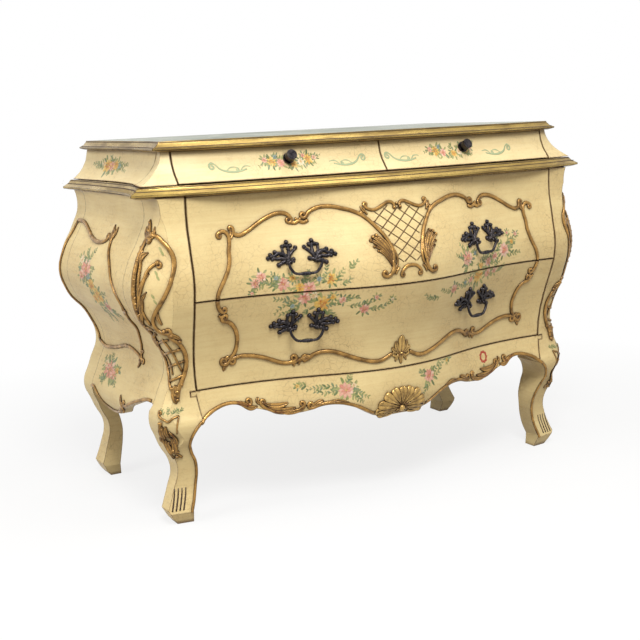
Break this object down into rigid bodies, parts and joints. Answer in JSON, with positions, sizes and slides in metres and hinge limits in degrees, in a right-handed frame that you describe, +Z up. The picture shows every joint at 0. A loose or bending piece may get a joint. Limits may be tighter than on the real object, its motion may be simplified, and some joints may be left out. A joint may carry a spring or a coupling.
{
  "type": "bombe chest",
  "caption": "Painted bombe commode with coved frieze drawers over large serpentine drawers, gilt mouldings, cabriole legs and swinging bail handles; every drawer slides and every bail swings.",
  "frame": {"origin": "on the floor, under the middle of the overall box", "axes": "+X to the right seen from the front, the front faces -Y, +Z up"},
  "size_m": [1.2384, 0.6932, 0.86],
  "materials": {
    "painted_wood": "aged cream paint, satin",
    "gilt_carving": "antique gilding over carved wood",
    "marbled_top": "painted to look like grey-green marble",
    "bare_wood": "unpainted wood of the boxes and the inside",
    "dark_bronze": "dark patinated bronze"
  },
  "bodies": {
    "carcase": {"apron_shell": "gilt_carving", "back_panel": "bare_wood", "back_post_left": "painted_wood", "back_post_right": "painted_wood", "bottom_board": "bare_wood", "drawer_rail": "bare_wood", "frieze_back": "bare_wood", "frieze_corner_left": "painted_wood", "frieze_corner_right": "painted_wood", "frieze_divider": "bare_wood", "frieze_side_left": "painted_wood", "frieze_side_right": "painted_wood", "front_apron": "painted_wood", "front_post_left": "painted_wood", "front_post_right": "painted_wood", "lower_runners": "bare_wood", "side_frame_left": "gilt_carving", "side_frame_right": "gilt_carving", "side_panel_left": "painted_wood", "side_panel_right": "painted_wood", "top_board": "marbled_top", "top_moulding_front": "gilt_carving", "top_moulding_left": "gilt_carving", "top_moulding_right": "gilt_carving", "upper_runners": "bare_wood", "waist_board": "bare_wood", "waist_moulding_front": "gilt_carving", "waist_moulding_left": "gilt_carving", "waist_moulding_right": "gilt_carving"},
    "small_drawer_left": {"knob_left": "dark_bronze", "small_drawer_left_back": "bare_wood", "small_drawer_left_bottom": "bare_wood", "small_drawer_left_front": "painted_wood", "small_drawer_left_inner_side": "bare_wood", "small_drawer_left_outer_side": "bare_wood"},
    "small_drawer_right": {"knob_right": "dark_bronze", "small_drawer_right_back": "bare_wood", "small_drawer_right_bottom": "bare_wood", "small_drawer_right_front": "painted_wood", "small_drawer_right_inner_side": "bare_wood", "small_drawer_right_outer_side": "bare_wood"},
    "upper_drawer": {"handle_plates_upper_left": "dark_bronze", "handle_plates_upper_right": "dark_bronze", "lattice_frame": "gilt_carving", "upper_drawer_back": "bare_wood", "upper_drawer_bottom": "bare_wood", "upper_drawer_front": "painted_wood", "upper_drawer_left_side": "bare_wood", "upper_drawer_right_side": "bare_wood"},
    "lower_drawer": {"handle_plates_lower_left": "dark_bronze", "handle_plates_lower_right": "dark_bronze", "lower_drawer_back": "bare_wood", "lower_drawer_bottom": "bare_wood", "lower_drawer_front": "painted_wood", "lower_drawer_left_side": "bare_wood", "lower_drawer_right_side": "bare_wood"},
    "bail_lower_left": {"bail_lower_left": "dark_bronze"},
    "bail_lower_right": {"bail_lower_right": "dark_bronze"},
    "bail_upper_left": {"bail_upper_left": "dark_bronze"},
    "bail_upper_right": {"bail_upper_right": "dark_bronze"}
  },
  "joints": [
    {"name": "small_drawer_left_slide", "type": "slide", "parent": "carcase", "child": "small_drawer_left", "axis": [0, -1, 0], "range_m": [0, 0.32]},
    {"name": "small_drawer_right_slide", "type": "slide", "parent": "carcase", "child": "small_drawer_right", "axis": [0, -1, 0], "range_m": [0, 0.32]},
    {"name": "upper_drawer_slide", "type": "slide", "parent": "carcase", "child": "upper_drawer", "axis": [0, -1, 0], "range_m": [0, 0.36]},
    {"name": "lower_drawer_slide", "type": "slide", "parent": "carcase", "child": "lower_drawer", "axis": [0, -1, 0], "range_m": [0, 0.36]},
    {"name": "bail_upper_left_hinge", "type": "hinge", "parent": "upper_drawer", "child": "bail_upper_left", "pos_m": [-0.24756, -0.29598, 0.587], "axis": [-0.9611, 0.2763, 0], "range_deg": [0, 100]},
    {"name": "bail_upper_right_hinge", "type": "hinge", "parent": "upper_drawer", "child": "bail_upper_right", "pos_m": [0.24756, -0.29598, 0.587], "axis": [-0.9611, -0.2763, 0], "range_deg": [0, 100]},
    {"name": "bail_lower_left_hinge", "type": "hinge", "parent": "lower_drawer", "child": "bail_lower_left", "pos_m": [-0.23713, -0.26875, 0.431], "axis": [-0.9504, 0.3112, 0], "range_deg": [0, 100]},
    {"name": "bail_lower_right_hinge", "type": "hinge", "parent": "lower_drawer", "child": "bail_lower_right", "pos_m": [0.23713, -0.26875, 0.431], "axis": [-0.9504, -0.3112, 0], "range_deg": [0, 100]}
  ]
}
